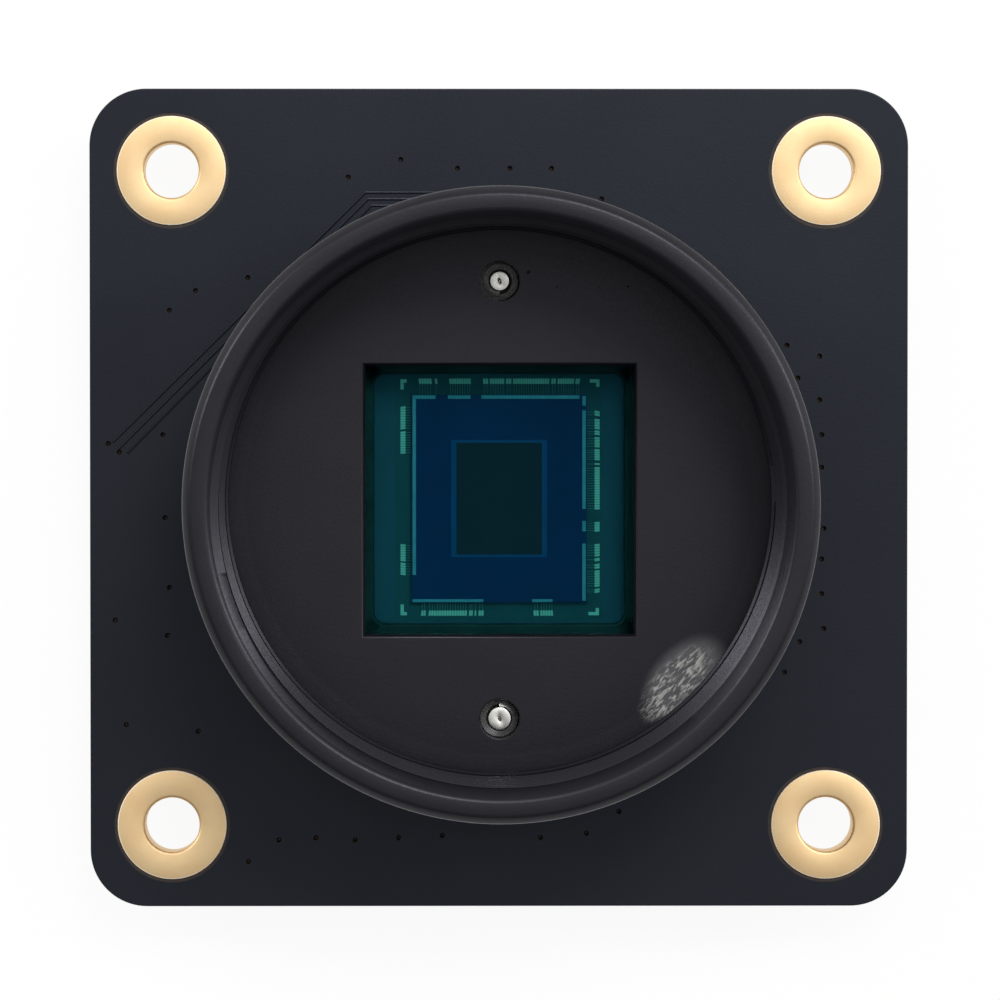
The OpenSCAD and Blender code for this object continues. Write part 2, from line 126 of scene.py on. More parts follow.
class SensorSettings(bpy.types.PropertyGroup):
    """Sizes and colours of the image sensor and its filter."""
    finger_pitch: millimetres("Finger pitch", "Pitch of the bond fingers", 0.115)
    wire: millimetres("Wire radius", "Radius of a bond wire", 0.0035)
    tint: colour("Filter tint", "What one face of the filter lets through", "#c2eef9")
    package: colour("Package", "Colour of the package's green mask", "#2b4c49")
    silicon: colour("Silicon", "Colour of the chip's coated face", "#10324f")


class StageSettings(bpy.types.PropertyGroup):
    """The camera's place and the strength of the studio's light."""
    sideways: FloatProperty(name="Camera x", description="Camera's offset in mm",
                            default=-2.0)
    upwards: FloatProperty(name="Camera y", description="Camera's offset in mm",
                           default=6.0)
    distance: millimetres("Camera distance", "Height above the board's front", 250.0)
    lens: FloatProperty(name="Lens", description="Focal length in mm", default=196.3,
                        unit="CAMERA", min=1.0)
    sky: FloatProperty(name="Sky", description="Strength of the light from above",
                       default=1.1, min=0.0)
    lamps: FloatProperty(name="Lamps", description="Factor on the lamps' power",
                         default=1.0, min=0.0)


# ---------- materials ----------


def add_node(tree, kind, settings=None, links=None):
    """Adds a node with its settings and links; a hex colour is turned to linear."""
    node = tree.nodes.new(kind)
    for name, value in (settings or {}).items():
        if isinstance(value, str) and value.startswith("#"):
            value = linear(value)
        if isinstance(name, int) or name in node.inputs:
            node.inputs[name].default_value = value
        else:
            setattr(node, name, value)
    for name, source in (links or {}).items():
        tree.links.new(source, node.inputs[name])
    return node


def blank(name):
    """A new material with an empty tree."""
    material = bpy.data.materials.new(name)
    material.use_nodes = True
    material.node_tree.nodes.clear()
    return material, material.node_tree


def surface(name, tone, drift, drift_mm, gloss, spread, grain_mm, grain_um, **shader):
    """A finish whose tone drifts in patches and whose gloss and relief share a grain."""
    material, tree = blank(name)
    place = add_node(tree, "ShaderNodeTexCoord").outputs["Object"]
    cloud = add_node(tree, "ShaderNodeTexNoise", {"Scale": 1 / (drift_mm * MM),
                     "Detail": 4.0}, {"Vector": place})
    patch = add_node(tree, "ShaderNodeMapRange", {"From Min": 0.35, "From Max": 0.65},
                     {"Value": cloud.outputs["Fac"]})
    blend = add_node(tree, "ShaderNodeMix", {"data_type": "RGBA", 6: tone, 7: drift},
                     {0: patch.outputs[0]})
    grain = add_node(tree, "ShaderNodeTexNoise", {"Scale": 1 / (grain_mm * MM),
                     "Detail": 5.0, "Roughness": 0.6}, {"Vector": place})
    sheen = add_node(tree, "ShaderNodeMapRange", {"From Min": 0.3, "From Max": 0.7,
                     "To Min": gloss - spread, "To Max": gloss + spread},
                     {"Value": grain.outputs["Fac"]})
    relief = add_node(tree, "ShaderNodeBump", {"Distance": grain_um * 1e-6},
                      {"Height": grain.outputs["Fac"]})
    settings = {key.replace("_", " "): value for key, value in shader.items()}
    face = add_node(tree, "ShaderNodeBsdfPrincipled", settings,
                    {"Base Color": blend.outputs[2], "Roughness": sheen.outputs[0],
                     "Normal": relief.outputs[0]})
    add_node(tree, "ShaderNodeOutputMaterial", {}, {"Surface": face.outputs[0]})
    return material


def spot(tree, centre, size, turn, soft):
    """A mask that is 1 inside an ellipsoid, turned about the axis, with a soft edge."""
    place = add_node(tree, "ShaderNodeTexCoord").outputs["Object"]
    local = add_node(tree, "ShaderNodeMapping", {"vector_type": "TEXTURE",
                     "Location": Vector(centre) * MM,
                     "Rotation": (0, 0, math.radians(turn)),
                     "Scale": Vector(size) * MM}, {"Vector": place})
    reach = add_node(tree, "ShaderNodeVectorMath", {"operation": "LENGTH"},
                     {0: local.outputs[0]})
    return local, add_node(tree, "ShaderNodeMapRange", {
        "From Min": 1 - soft, "From Max": 1 + soft, "To Min": 1.0, "To Max": 0.0,
        "interpolation_type": "SMOOTHSTEP"}, {"Value": reach.outputs["Value"]})


def repaint(material, mask, tone, gloss):
    """Lays a second tone and gloss over a surface where the mask says."""
    tree = material.node_tree
    face = next(n for n in tree.nodes if n.type == "BSDF_PRINCIPLED")
    below = face.inputs["Base Color"].links[0].from_socket
    rough = face.inputs["Roughness"].links[0].from_socket
    over = add_node(tree, "ShaderNodeMix", {"data_type": "RGBA", 7: tone},
                    {0: mask, 6: below})
    sheen = add_node(tree, "ShaderNodeMix", {3: gloss}, {0: mask, 2: rough})
    tree.links.new(over.outputs[2], face.inputs["Base Color"])
    tree.links.new(sheen.outputs[0], face.inputs["Roughness"])


def solder_mask(tone):
    """Matt black liquid solder mask over copper: a slow satin drift with a faint weave."""
    return surface("black_solder_mask", tone, "#0e1117", 7.0, 0.38, 0.04, 0.12, 3.0,
                   Specular_IOR_Level=0.33, Specular_Tint="#e3ebff")


def milled_laminate():
    """Glass-epoxy edge left by the router: paler than the mask, with short fibres."""
    return surface("milled_laminate_edge", "#2b2c2f", "#3c3c3e", 0.5, 0.7, 0.1, 0.06,
                   12.0, Specular_IOR_Level=0.4)


def laminate_and_via_shade():
    """Glass-epoxy without mask, a dark brown ring with a dull face; the same dark finish
    is laid in every via's mouth as painted shade.
    """
    return surface("glass_epoxy_and_via_shade", "#1d130c", "#2c1d12", 0.4, 0.55, 0.1, 0.08, 4.0)


def immersion_gold(tone):
    """Immersion gold on copper: bright and softly satin, with the grain of the copper."""
    return surface("immersion_gold", tone, "#ecd0a2", 1.6, 0.52, 0.05, 0.05, 1.6,
                   Metallic=1.0)


def gold_rim_highlight():
    """The pad's rolled edge, painted paler than its face all round as a painted highlight
    of the bright surroundings it would reflect; its gloss is also rougher than the face's.
    """
    return surface("painted_gold_rim_highlight", "#f7e6cb", "#fbeedb", 0.5, 0.6, 0.06, 0.05, 3.0,
                   Metallic=0.3)


def moulded_nylon(tone):
    """Black glass-filled nylon from the mould: a dull face with flow streaks."""
    return surface("moulded_black_nylon", tone, "#101014", 3.0, 0.36, 0.04, 0.16, 4.0,
                   Specular_IOR_Level=0.4, Specular_Tint="#f0eeff")


def nickel_plate(tone):
    """Bright nickel on steel: a mirror softened by fine handling marks."""
    return surface("nickel_plated_steel", tone, "#d6d5d0", 0.3, 0.3, 0.08, 0.05, 1.5,
                   Metallic=1.0)


def tin(tone="#c9cacb"):
    """Reflowed tin solder: silver-grey, bright where it flowed and dull where it froze."""
    return surface("reflowed_tin", tone, "#a9abad", 0.3, 0.27, 0.1, 0.09, 4.0,
                   Metallic=1.0)


def tinted_glass(name, tint, reflectance):
    """Coated glass: it lets a tint through and returns little light head-on."""
    material, tree = blank(name)
    through = add_node(tree, "ShaderNodeBsdfTransparent", {"Color": tint})
    gloss = add_node(tree, "ShaderNodeBsdfGlossy", {"Roughness": 0.03,
                     "Color": "#dfe9f2"})
    rim = add_node(tree, "ShaderNodeFresnel", {"IOR": reflectance})
    face = add_node(tree, "ShaderNodeMixShader", {}, {0: rim.outputs[0],
                    1: through.outputs[0], 2: gloss.outputs[0]})
    add_node(tree, "ShaderNodeOutputMaterial", {}, {"Surface": face.outputs[0]})
    return material


# ---------- making and finishing a piece ----------


def piece_from(name, bm, *materials):
    """An object from a bmesh drawn in millimetres."""
    mesh = bpy.data.meshes.new(name)
    bm.to_mesh(mesh)
    bm.free()
    for material in materials:
        mesh.materials.append(material)
    piece = bpy.data.objects.new(name, mesh)
    bpy.context.scene.collection.objects.link(piece)
    return piece


def merged(bm):
    """Closes the seams and turns the faces outwards."""
    bmesh.ops.remove_doubles(bm, verts=bm.verts, dist=1e-5)
    bmesh.ops.recalc_face_normals(bm, faces=bm.faces)
    return bm


def turned(outline, steps, closed=True, centre=(0, 0)):
    """A solid of revolution round an upright axis, from its half section (r, z)."""
    bm = bmesh.new()
    corners = [bm.verts.new((centre[0] + r, centre[1], z)) for r, z in outline]
    ends = corners[1:] + corners[:1] if closed else corners[1:]
    sides = [bm.edges.new(pair) for pair in zip(corners, ends)]
    bmesh.ops.spin(bm, geom=corners + sides, cent=(*centre, 0), axis=(0, 0, 1),
                   angle=2 * math.pi, steps=steps, use_merge=True)
    bmesh.ops.remove_doubles(bm, verts=bm.verts, dist=1e-5)
    bmesh.ops.holes_fill(bm, edges=[e for e in bm.edges if e.is_boundary], sides=0)
    return merged(bm)


def helix(section, pitch, turns, steps):
    """A thread form (r, z) carried round and up the axis, closed at both ends."""
    bm = bmesh.new()
    corners = [bm.verts.new((r, 0, z)) for r, z in section]
    form = bm.faces.new(corners)
    bmesh.ops.spin(bm, geom=corners + list(form.edges) + [form], axis=(0, 0, 1),
                   cent=(0, 0, 0), dvec=(0, 0, pitch / steps),
                   angle=2 * math.pi * turns, steps=round(steps * turns),
                   use_merge=False)
    return merged(bm)


def paint(made, slot):
    """Gives the faces round newly made corners their material slot."""
    for face in {f for v in made for f in v.link_faces}:
        face.material_index = slot
    return made


def add_block(bm, low, high, slot=0):
    """Adds a box between two corners."""
    low, high = Vector(low), Vector(high)
    place = Matrix.Translation((low + high) / 2) @ Matrix.Diagonal((*(high - low), 1))
    return paint(bmesh.ops.create_cube(bm, size=1.0, matrix=place)["verts"], slot)


def add_plug(bm, centre, bottom, top, low_r, high_r, sides, slot=0, turn=0.0):
    """Adds an upright cylinder or cone."""
    place = Matrix.Translation((*centre, (bottom + top) / 2))
    made = bmesh.ops.create_cone(bm, cap_ends=True, segments=sides, radius1=low_r,
                                 radius2=high_r, depth=top - bottom,
                                 matrix=place @ Matrix.Rotation(turn, 4, "Z"))["verts"]
    return paint(made, slot)


def carve(piece, tool, operation="DIFFERENCE"):
    """Cuts a tool out of a piece or joins it on; cut faces take the tool's material."""
    change = piece.modifiers.new("carve", "BOOLEAN")
    change.operation = operation
    change.solver = "EXACT"
    change.material_mode = "TRANSFER"
    change.object = tool
    for change.use_self in (False, True):
        view = bpy.context.evaluated_depsgraph_get()
        mesh = bpy.data.meshes.new_from_object(piece.evaluated_get(view))
        if mesh.polygons:
            break
    else:
        raise RuntimeError(f"{tool.name} leaves nothing of {piece.name}")
    piece.modifiers.clear()
    piece.data = mesh
    bpy.data.objects.remove(tool)


def soften(piece, width, segments, chosen, limit=25):
    """Rounds the chosen edges that turn by more than the limit."""
    bm = bmesh.new()
    bm.from_mesh(piece.data)
    edges = [e for e in bm.edges if len(e.link_faces) == 2
             and e.calc_face_angle() > math.radians(limit)
             and chosen((e.verts[0].co + e.verts[1].co) / 2)]
    bmesh.ops.bevel(bm, geom=edges, offset=width, offset_type="OFFSET",
                    affect="EDGES", segments=segments, profile=0.5, material=-1,
                    clamp_overlap=True)
    bm.to_mesh(piece.data)
    bm.free()


def even_faces(piece):
    """Keeps flat faces flat beside their rounded edges."""
    even = piece.modifiers.new("even_faces", "WEIGHTED_NORMAL")
    even.keep_sharp = True


def finish(piece, slot, *nodes, body="module", angle=32):
    """Brings a piece to metres, smooths it and seats it on its body."""
    piece.data.transform(Matrix.Scale(MM, 4))
    piece.data.shade_smooth()
    piece.data.set_sharp_from_angle(angle=math.radians(angle))
    even_faces(piece)
    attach(piece, body)
    if nodes:
        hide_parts(*nodes)


def dress(node, material, rounding=0.0, segments=2):
    """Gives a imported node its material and, where it shows, rounded edges."""
    piece = frame["nodes"][node]
    piece.data.materials.clear()
    piece.data.materials.append(material)
    if rounding:
        weld = piece.modifiers.new("weld", "WELD")
        weld.merge_threshold = 1e-6
        edge = piece.modifiers.new("edges", "BEVEL")
        edge.width = rounding * MM
        edge.segments = segments
        edge.limit_method = "ANGLE"
        edge.angle_limit = math.radians(35)
        even_faces(piece)


def solids_of(node):
    """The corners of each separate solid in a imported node, in millimetres."""
    bm = bmesh.new()
    bm.from_mesh(frame["nodes"][node].data)
    bmesh.ops.remove_doubles(bm, verts=bm.verts, dist=1e-7)
    left, boxes = set(bm.verts), []
    while left:
        found, edge = set(), [left.pop()]
        while edge:
            vert = edge.pop()
            found.add(vert)
            near = {e.other_vert(vert) for e in vert.link_edges} & left
            left -= near
            edge.extend(near)
        points = [v.co / MM for v in found]
        boxes.append((Vector(map(min, zip(*points))), Vector(map(max, zip(*points)))))
    bm.free()
    return sorted(boxes, key=lambda b: tuple(round(c, 3) for c in (*b[0], *b[1])))


def mount(name):
    """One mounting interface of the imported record."""
    return next(m for m in frame["record"]["mounts"] if m["name"] == name)


# ---------- what lies where, in millimetres ----------

BOARD_LOW, BOARD_HIGH = extent("circuit_board")
FRONT = BOARD_HIGH.z
REAR = BOARD_LOW.z
HOLE_R = mount("mounting_holes")["dims"]["hole_r_mm"]
PLATED = [extent(f"plated_hole_{i}") for i in (1, 2, 3, 4)]
BARREL_LOW, BARREL_HIGH = extent("lens_mount")
FILTER_LOW, FILTER_HIGH = extent("ir_cut_filter")
BASE_LOW, BASE_HIGH = extent("sensor_base")
DIE_LOW, DIE_HIGH = extent("sensor_die")
SCREWS = solids_of("mount_screws")

# How far the bare ring round a pad lies below the mask
BARE_DEPTH = 0.03

# Centres of the vias, placed along the board's copper
VIAS = [(-6.9, 14.7), (-4.5, 15.5), (-1.9, 15.1), (0.5, 15.1), (2.4, 15.1), (4.7, 13.7),
        (-11.5, 10.1), (-13.9, 9.5), (-15.1, 8.6), (13.2, 7.0), (14.7, 6.5),
        (13.7, 5.5), (14.7, 4.5), (14.8, 2.9), (14.8, 1.4), (14.9, -1.4), (14.8, -2.8),
        (14.8, -4.4), (14.9, -6.0), (13.8, -6.6), (13.1, -8.0), (5.5, -14.4),
        (4.0, -15.4), (1.9, -15.6), (-2.6, -15.5), (-4.6, -15.6), (-6.6, -15.7),
        (-8.4, -15.6), (-10.1, -15.7), (-11.5, -16.7), (-17.6, -5.6), (-15.2, -6.3),
        (-17.1, -10.4), (-13.8, -10.7), (-15.1, -4.1), (-15.3, -0.9), (-15.4, 2.9),
        (-17.9, 2.5), (-17.4, 2.1)]

# Three tracks that run up beside the lens mount and along its top
TRACKS = [[(-17.65, 2.62), (-6.12, 14.0), (3.0, 14.0), (4.5, 12.5)],
          [(-17.4, 2.3), (-6.0, 13.7), (1.5, 13.7)],
          [(-17.0, 2.1), (-5.85, 13.4), (0.5, 13.4)]]


class CircuitBoard(bpy.types.Operator):
    """Makes the board with its drilled holes, pad clearances, vias and tracks."""
    bl_idname = "camera_module.circuit_board"
    bl_label = "Circuit board"
    screw_hole_r = 1.1
    via_depth = 0.3
    via_limit = 18.4

    def execute(self, context):
        s = context.scene.board_settings
        bm = bmesh.new()
        bmesh.ops.create_grid(bm, x_segments=1, y_segments=1, size=BOARD_HIGH.x)
        bmesh.ops.bevel(bm, geom=list(bm.verts), offset=s.corner, affect="VERTICES",
                        segments=20, profile=0.5, material=-1)
        up = bmesh.ops.extrude_face_region(bm, geom=list(bm.faces))["geom"]
        bmesh.ops.translate(bm, vec=(0, 0, FRONT - REAR),
                            verts=[v for v in up if isinstance(v, bmesh.types.BMVert)])
        for vert in bm.verts:
            vert.co.z += REAR
        merged(bm)
        for face in bm.faces:
            if abs(face.normal.z) < 0.5:
                face.material_index = 1
        board = piece_from("black_circuit_board", bm, solder_mask(s.mask),
                           milled_laminate(), laminate_and_via_shade())
        soften(board, 0.06, 2, lambda p: True, 60)
        carve(board, self.tracks(board, s), "UNION")
        carve(board, self.dishes(board, s))
        soften(board, 0.045, 2, lambda p: abs(p.z - FRONT) < 0.01 and any(
            math.dist(p.xy, via) < 1.5 * s.via for via in VIAS))
        for low, high in PLATED:
            carve(board, self.drill(board, s, low, high))
        finish(board, "board_laminate", "circuit_board")
        return {"FINISHED"}

    def tracks(self, board, s):
        """Low rounded ribs where copper runs under the mask."""
        bm = bmesh.new()
        for line in TRACKS:
            points = [Vector((*p, 0)) for p in line]
            for a, b in zip(points, points[1:]):
                along = (b - a).normalized()
                made = add_block(bm, (-s.track / 2, -s.track / 2, FRONT - 0.1),
                                 ((b - a).length + s.track / 2, s.track / 2,
                                  FRONT + s.rise))
                turn = Matrix.Rotation(math.atan2(along.y, along.x), 4, "Z")
                bmesh.ops.transform(bm, matrix=Matrix.Translation(a) @ turn,
                                    verts=made)
        ribs = piece_from("tracks", bm, *board.data.materials)
        soften(ribs, s.rise * 0.9, 2, lambda p: p.z > FRONT, 60)
        return ribs

    def drill(self, board, s, low, high):
        """One plated hole's cutter, with the ring of bare laminate round its pads."""
        centre = ((low.x + high.x) / 2, (low.y + high.y) / 2)
        bare_r = (high.x - low.x) / 2 + s.clearance
        wall_r = HOLE_R + high.z - FRONT
        low_step, high_step = REAR + BARE_DEPTH, FRONT - BARE_DEPTH
        section = [(0, REAR - 1), (bare_r, REAR - 1), (bare_r, low_step),
                   (wall_r, low_step), (wall_r, high_step), (bare_r, high_step),
                   (bare_r, FRONT + 1), (0, FRONT + 1)]
        bm = turned(section, 96, False, centre)
        for face in bm.faces:
            face.material_index = 2
        return piece_from("drill", bm, *board.data.materials)

    def dishes(self, board, s):
        """The two screw holes and both mouths of every via as one cutter."""
        bm = bmesh.new()
        for low, high in SCREWS:
            centre = ((low.x + high.x) / 2, (low.y + high.y) / 2)
            add_plug(bm, centre, REAR - 1, FRONT + 1, self.screw_hole_r,
                     self.screw_hole_r, 48, 2)
        for x, y in VIAS:
            if max(abs(x), abs(y)) < self.via_limit:
                # Each via's mouth takes slot 2, the dark laminate finish, as painted shade
                # down the via
                add_plug(bm, (x, y), FRONT - self.via_depth, FRONT + 0.02,
                         s.via * 0.5, s.via, 12, 2)
                add_plug(bm, (x, y), REAR - 0.02, REAR + self.via_depth, s.via,
                         s.via * 0.5, 12, 2)
        return piece_from("dishes", merged(bm), *board.data.materials)


class PlatedHoles(bpy.types.Operator):
    """Makes the four gilded mounting holes with their pads."""
    bl_idname = "camera_module.plated_holes"
    bl_label = "Plated holes"
    mouth = 0.14
    rolled = 0.045

    def execute(self, context):
        gold = immersion_gold(context.scene.board_settings.gold)
        # edge: the painted highlight laid on each pad's rolled rim
        edge = gold_rim_highlight()
        for i, (low, high) in enumerate(PLATED, 1):
            centre = ((low.x + high.x) / 2, (low.y + high.y) / 2)
            pad_r, plate = (high.x - low.x) / 2, high.z - FRONT
            wall_r = HOLE_R + plate
            rear, front = REAR - BARE_DEPTH + plate, FRONT + BARE_DEPTH - plate
            section = [(HOLE_R, low.z), (pad_r, low.z), (pad_r, rear), (wall_r, rear),
                       (wall_r, front), (pad_r, front), (pad_r, high.z),
                       (HOLE_R, high.z)]
            pad = piece_from(f"gilded_hole_{i}", turned(section, 96, True, centre),
                             gold, edge)
            middle = Vector((*centre, 0))
            faces = (low.z + 0.001, high.z - 0.001)

            def edge_at(radius):
                return lambda p: (abs((p.xy - middle.xy).length - radius) < 0.05
                                  and not faces[0] < p.z < faces[1])
            soften(pad, self.mouth, 4, edge_at(HOLE_R))
            soften(pad, self.rolled, 3, edge_at(pad_r))
            # The rim's faces take slot 1, the pale painted highlight
            for face in pad.data.polygons:
                reach = (face.center.xy - middle.xy).length
                if reach > pad_r - 0.06 and abs(face.normal.z) < 0.995:
                    face.material_index = 1
            finish(pad, "gilded_copper", f"plated_hole_{i}")
        return {"FINISHED"}


class LensMount(bpy.types.Operator):
    """Makes the threaded barrel with its floor, window, bosses and sensor pocket."""
    bl_idname = "camera_module.lens_mount"
    bl_label = "Lens mount"
    ledge = 1.0
    web = 1.25
    edge = 0.35
    relief = 0.5
    skirt = 1.8
    mouth = 0.57
    lip = 0.16
    step = 0.03
    step_r = 11.55

    def execute(self, context):
        s = context.scene.mount_settings
        plastic = moulded_nylon(s.plastic)
        self.mark(plastic, s)
        rim, outer, base = BARREL_HIGH.z, BARREL_HIGH.x, BARREL_LOW.z
        thread = mount("lens_thread")["dims"]
        bore = thread["r_mm"]
        floor = FILTER_HIGH.z + self.ledge
        bottom = rim - self.mouth - thread["length_mm"]
        skirt_r = outer - self.skirt
        section = [(skirt_r, floor - self.web), (skirt_r, base), (outer, base),
                   (outer, rim - self.edge), (outer - self.edge, rim),
                   (bore + self.mouth, rim), (bore, rim - self.mouth),
                   (bore, bottom + self.lip), (bore - self.lip, bottom + 0.4 * self.lip),
                   (bore - self.lip, bottom), (bore + self.relief, bottom - self.relief),
                   (bore + self.relief, floor + self.step),
                   (self.step_r, floor + self.step), (self.step_r - 0.15, floor)]
        barrel = piece_from("threaded_lens_mount", turned(section, 192, False),
                            plastic)
        carve(barrel, self.block(floor, base, skirt_r, plastic), "UNION")
        carve(barrel, self.openings(floor, base, plastic))
        soften(barrel, s.rounding, 3, lambda p: p.z > bottom + 0.5)
        soften(barrel, 0.04, 2, lambda p: floor + 0.1 < p.z < bottom + 0.5)
        soften(barrel, 0.05, 2, lambda p: abs(p.z - floor) < 0.01
               and p.xy.length < bore)
        groove = [(bore - 0.04, -0.9 * s.pitch / 2), (bore + s.depth, -0.03),
                  (bore + s.depth, 0.03), (bore - 0.04, 0.9 * s.pitch / 2)]
        turns = math.ceil((rim - bottom) / s.pitch) + 1
        cutter = helix(groove, s.pitch, turns, 160)
        bmesh.ops.translate(cutter, vec=(0, 0, bottom + s.pitch * 0.6),
                            verts=cutter.verts)
        bmesh.ops.bisect_plane(cutter, geom=cutter.verts[:] + cutter.edges[:]
                               + cutter.faces[:], plane_co=(0, 0, rim + 0.3),
                               plane_no=(0, 0, 1), clear_outer=True)
        bmesh.ops.holes_fill(cutter, edges=[e for e in cutter.edges if e.is_boundary])
        carve(barrel, piece_from("thread_groove", merged(cutter), plastic))
        finish(barrel, "black_plastic", "lens_mount", angle=28)
        return {"FINISHED"}

    def block(self, floor, base, skirt_r, plastic):
        """The square wall round the sensor and the two screw bosses."""
        low, high = BASE_LOW, BASE_HIGH
        half = (high.x - low.x) / 2 + 0.3 + 1.5
        top = floor - self.web + 0.05
        bm = bmesh.new()
        add_block(bm, (-half, -half, base), (half, half, top))
        wall = piece_from("sensor_wall", bm, plastic)
        bosses = bmesh.new()
        for screw_low, screw_high in SCREWS:
            centre = (0, (screw_low.y + screw_high.y) / 2)
            add_plug(bosses, centre, base, top, 2.6, 2.6, 48)
        carve(wall, piece_from("bosses", bosses, plastic), "UNION")
        bound = bmesh.new()
        add_plug(bound, (0, 0), base - 1, top + 1, skirt_r + 0.01, skirt_r + 0.01, 192)
        carve(wall, piece_from("bound", bound, plastic), "INTERSECT")
        return wall

    def openings(self, floor, base, plastic):
        """The sensor's pocket, the filter's seat, the window and the screw holes."""
        pocket = (BASE_HIGH.x - BASE_LOW.x) / 2 + 0.3
        seat = (FILTER_HIGH.x - FILTER_LOW.x) / 2 + 0.1
        window = (BASE_HIGH.x - BASE_LOW.x) / 2 - 0.925
        bm = bmesh.new()
        add_block(bm, (-pocket, -pocket, base - 1), (pocket, pocket, FILTER_LOW.z))
        tool = piece_from("pocket", bm, plastic)
        parts = [((seat, FILTER_LOW.z - 0.1), FILTER_HIGH.z),
                 ((window, FILTER_HIGH.z - 0.1), floor + 1)]
        for (half, low), high in parts:
            bm = bmesh.new()
            add_block(bm, (-half, -half, low), (half, half, high))
            carve(tool, piece_from("step", bm, plastic), "UNION")
        flare = bmesh.new()
        root = math.sqrt(2)
        add_plug(flare, (0, 0), floor - 0.12, floor + 0.5, window * root,
                 (window + 0.62) * root, 4, 0, math.pi / 4)
        carve(tool, piece_from("flare", flare, plastic), "UNION")
        holes = bmesh.new()
        for low, high in SCREWS:
            add_plug(holes, (0, (low.y + high.y) / 2), base - 1, floor + 1, 0.9, 0.9,
                     64)
        carve(tool, piece_from("holes", holes, plastic), "UNION")
        return tool

    def mark(self, plastic, s):
        """A pale grey streaky patch, lighter and duller than the plastic, and a few dark
        specks on the floor.
        """
        tree = plastic.node_tree
        floor = FILTER_HIGH.z + self.ledge
        # a soft grey patch, then paler streaks laid inside it
        for place, size, soft, tone, low, high, least in (
                ((8.35, -8.1, floor), (2.1, 1.3, 0.5), 0.25, s.patch_tone, 0.3, 0.7, 0.7),
                ((8.0, -8.25, floor), (1.9, 0.85, 0.5), 0.3, "#b4b4ae", 0.48, 0.62, 0)):
            local, lighter = spot(tree, place, size, 47, soft)
            strokes = add_node(tree, "ShaderNodeMapping", {"Scale": (1.5, 2.2, 1.0)},
                               {"Vector": local.outputs[0]})
            streaks = add_node(tree, "ShaderNodeTexNoise", {
                "Scale": 2.6, "Detail": 6.0, "Roughness": 0.6, "Distortion": 0.6},
                {"Vector": strokes.outputs[0]})
            faint = add_node(tree, "ShaderNodeMapRange", {
                "From Min": low, "From Max": high, "To Min": least},
                {"Value": streaks.outputs[0]})
            mask = add_node(tree, "ShaderNodeMath", {"operation": "MULTIPLY"},
                            {0: lighter.outputs[0], 1: faint.outputs[0]})
            repaint(plastic, mask.outputs[0], tone, 0.55)
        for x, y, size in ((5.8, 9.65, 0.07), (1.3, 10.29, 0.1), (2.6, 9.6, 0.05)):
            _, speck = spot(tree, (x, y, floor), (size, size * 0.7, 0.3), 30, 0.3)
            repaint(plastic, speck.outputs[0], "#050505", 0.7)


class MountScrews(bpy.types.Operator):
    """Makes the two screws that hold the lens mount from the rear."""
    bl_idname = "camera_module.mount_screws"
    bl_label = "Mount screws"
    core_r = 0.66
    # each screw's radius at its point, and how far it was turned in
    points = ((0.5, 200), (0.42, 20))

    def execute(self, context):
        plate = nickel_plate(context.scene.mount_settings.steel)
        screws = None
        for (low, high), (point, turn) in zip(SCREWS, self.points):
            one = self.screw(low, high, plate, point, turn)
            if screws is None:
                screws = one
                continue
            carve(screws, one, "UNION")
        screws.name = "pan_head_screws"
        finish(screws, "screw_steel", "mount_screws")
        return {"FINISHED"}

    def screw(self, low, high, plate, point, turn):
        """One pan-head screw: a cross recess, and a thread that winds in to its point."""
        head_r, head, tip = (high.x - low.x) / 2, REAR - low.z, high.z
        section = [(0, -head), (head_r * 0.55, -head * 0.98), (head_r * 0.82, -head * 0.8),
                   (head_r * 0.97, -head * 0.45), (head_r, -0.12), (head_r - 0.1, 0),
                   (self.core_r, 0), (self.core_r, tip - 0.5),
                   (self.core_r, tip - 0.1), (0.6, tip), (0, tip)]
        body = piece_from("screw", turned(section, 48, False), plate)
        ridge = helix([(0.55, -0.17), (0.55, 0.17), (0.92, 0.03), (0.92, -0.03)],
                      0.5, (tip - 0.65) / 0.5, 40)
        bmesh.ops.translate(ridge, vec=(0, 0, 0.45), verts=ridge.verts)
        carve(body, piece_from("ridge", ridge, plate), "UNION")
        for vert in body.data.vertices:
            share = min(1, max(0, (vert.co.z - tip + 0.8) / 0.8))
            vert.co.xy *= 1 - (1 - point / 0.6) * share
        for angle in (0, 90):
            cut = bmesh.new()
            made = add_plug(cut, (0, 0), -head - 0.1, -head + 0.8, 1.45, 0.5, 4, 0,
                            math.pi / 4)
            bmesh.ops.scale(cut, vec=(1, 0.23, 1), verts=made)
            bmesh.ops.rotate(cut, verts=made, matrix=Matrix.Rotation(
                math.radians(angle), 3, "Z"))
            carve(body, piece_from("recess", cut, plate))
        dimple = bmesh.new()
        made = add_plug(dimple, (0, 0), tip - 0.35, tip + 0.05, 0.01, 0.09, 16)
        bmesh.ops.scale(dimple, vec=(1, 2.0, 1), verts=made)
        carve(body, piece_from("dimple", dimple, plate))
        soften(body, 0.05, 2, lambda p: p.z > tip - 0.02, 40)
        body.data.transform(Matrix.Translation((0, (low.y + high.y) / 2, 0))
                            @ Matrix.Rotation(math.radians(turn), 4, "Z"))
        return body


